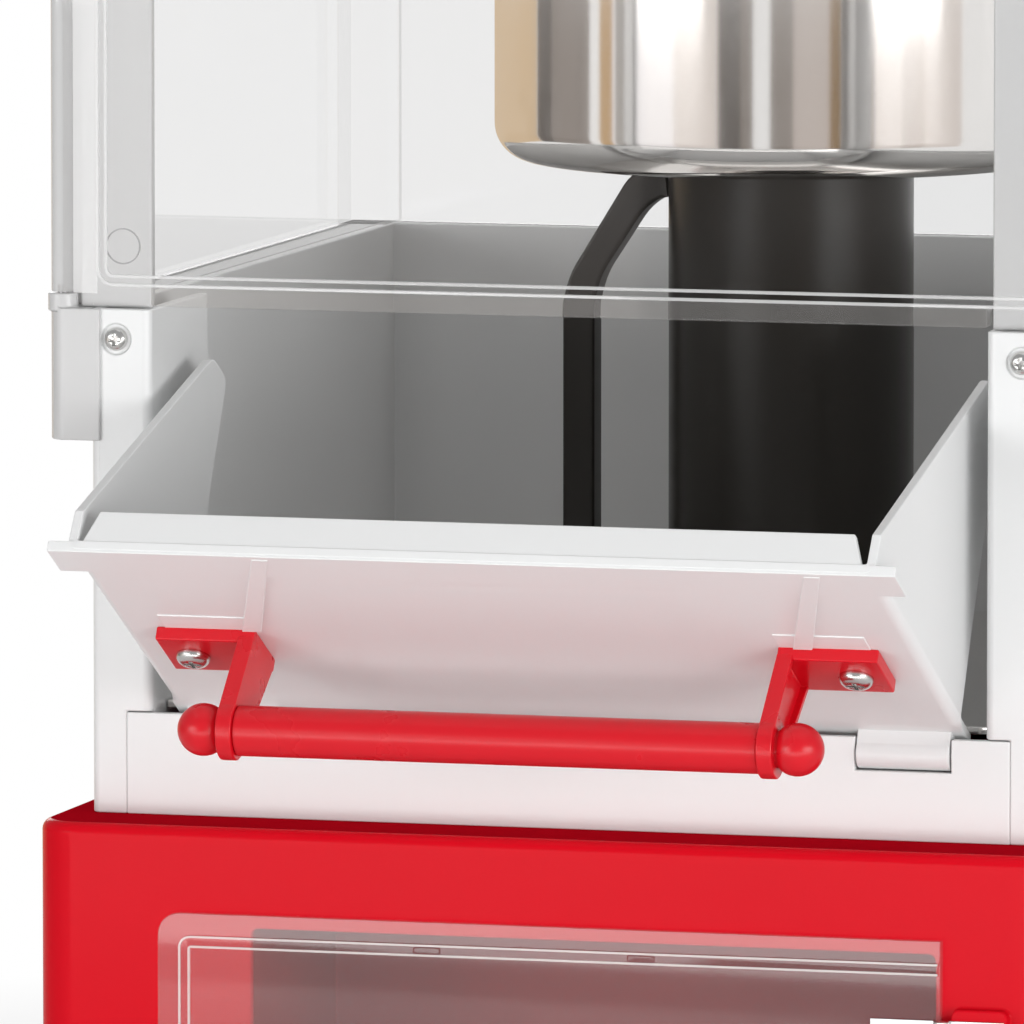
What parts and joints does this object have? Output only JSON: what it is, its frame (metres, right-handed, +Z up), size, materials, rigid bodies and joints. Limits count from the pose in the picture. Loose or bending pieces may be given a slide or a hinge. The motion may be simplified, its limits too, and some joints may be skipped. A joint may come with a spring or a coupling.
{
  "type": "popcorn maker",
  "caption": "Tabletop popcorn maker: clear cabinet with a stirred kettle, a tilting serving door with a bar handle, a storage base with a clear door, and a roof cap.",
  "frame": {"origin": "middle of the overall box, on the surface under the feet", "axes": "+Z up, -Y to the front with the serving door, +X to the right of someone facing the front"},
  "size_m": [0.2914, 0.3806, 0.554],
  "materials": {
    "red_plastic": "glossy moulded red plastic",
    "white_plastic": "glossy moulded white plastic",
    "clear_plastic": "clear polished acrylic",
    "black_plastic": "glossy black plastic",
    "red_rocker": "red switch rocker",
    "knob_white": "white turned knob",
    "steel": "polished stainless steel",
    "zinc_screw": "bright zinc plate",
    "steel_pin": "ground steel",
    "hinge_steel": "satin steel sheet",
    "rubber": "matt black rubber",
    "bulb_glass": "frosted lamp glass",
    "motor_metal": "zinc-plated motor can",
    "heater_metal": "sheathed heating element"
  },
  "bodies": {
    "cabinet": {"back_panel": "clear_plastic", "base_deck": "red_plastic", "base_plate": "black_plastic", "base_plate_screws": "zinc_screw", "base_shell": "red_plastic", "bay_liner": "red_plastic", "cabinet_collar": "white_plastic", "ceiling_sheet": "white_plastic", "chamber_floor": "steel", "chamber_housing": "white_plastic", "front_fascia": "white_plastic", "front_pillar_left": "white_plastic", "front_pillar_right": "white_plastic", "gearbox": "motor_metal", "heater_ring": "heater_metal", "housing_screws": "zinc_screw", "kettle": "steel", "kettle_pedestal": "black_plastic", "lamp_bulb": "bulb_glass", "lamp_holder": "black_plastic", "lead_inlet": "black_plastic", "lid_bridge": "steel", "lid_pins": "steel_pin", "pedestal_screws": "zinc_screw", "rear_post_left": "clear_plastic", "rear_post_right": "clear_plastic", "roof_cap": "red_plastic", "rubber_feet": "rubber", "serving_door_pins": "steel_pin", "side_pane_left": "clear_plastic", "side_pane_right": "clear_plastic", "stir_motor": "motor_metal", "storage_hinge_base_leaves": "hinge_steel", "storage_hinge_base_screws": "zinc_screw", "storage_hinge_pins": "steel_pin", "switch_block": "black_plastic", "thermostat": "motor_metal", "top_frame": "white_plastic", "window_pivot_pins": "steel_pin", "wiring_conduit": "black_plastic"},
    "serving_door": {"serving_door": "white_plastic", "handle_bracket_right": "red_plastic", "handle_bracket_left": "red_plastic", "handle_bar": "red_plastic", "handle_end_balls": "red_plastic", "handle_screws": "zinc_screw"},
    "window": {"front_window": "clear_plastic", "window_knob": "knob_white"},
    "storage_door": {"storage_door": "clear_plastic", "storage_knob": "knob_white", "storage_hinge_door_leaves": "hinge_steel", "storage_hinge_door_screws": "zinc_screw"},
    "stirrer": {"stirrer": "steel", "stir_shaft": "steel_pin"},
    "lid_right": {"lid_leaf_right": "steel"},
    "lid_left": {"lid_leaf_left": "steel"},
    "heat_rocker": {"heat_rocker": "red_rocker"},
    "light_rocker": {"light_rocker": "red_rocker"}
  },
  "joints": [
    {"name": "serving_door_tilt", "type": "hinge", "parent": "cabinet", "child": "serving_door", "pos_m": [0, -0.0947, 0.1745], "axis": [-1, 0, 0], "range_deg": [0, 61.3]},
    {"name": "window_swing", "type": "hinge", "parent": "cabinet", "child": "window", "pos_m": [-0.1385, -0.0944, 0.385], "axis": [0, 0, -1], "range_deg": [0, 105]},
    {"name": "storage_door_swing", "type": "hinge", "parent": "cabinet", "child": "storage_door", "pos_m": [0.1091, -0.1257, 0.074], "axis": [0, 0, 1], "range_deg": [0, 105]},
    {"name": "stirrer_turn", "type": "hinge", "parent": "cabinet", "child": "stirrer", "pos_m": [0.014, 0.0826, 0.33], "axis": [0, 0, 1], "continuous": true},
    {"name": "lid_right_lift", "type": "hinge", "parent": "cabinet", "child": "lid_right", "pos_m": [0.026, 0.0826, 0.4018], "axis": [0, -1, 0], "range_deg": [0, 70]},
    {"name": "lid_left_lift", "type": "hinge", "parent": "cabinet", "child": "lid_left", "pos_m": [0.002, 0.0826, 0.4018], "axis": [0, 1, 0], "range_deg": [0, 70]},
    {"name": "heat_rocker_tip", "type": "hinge", "parent": "cabinet", "child": "heat_rocker", "pos_m": [0.1385, -0.0724, 0.1075], "axis": [0, -1, 0], "range_deg": [0, 14]},
    {"name": "light_rocker_tip", "type": "hinge", "parent": "cabinet", "child": "light_rocker", "pos_m": [0.1385, -0.0724, 0.0845], "axis": [0, -1, 0], "range_deg": [0, 14]}
  ]
}
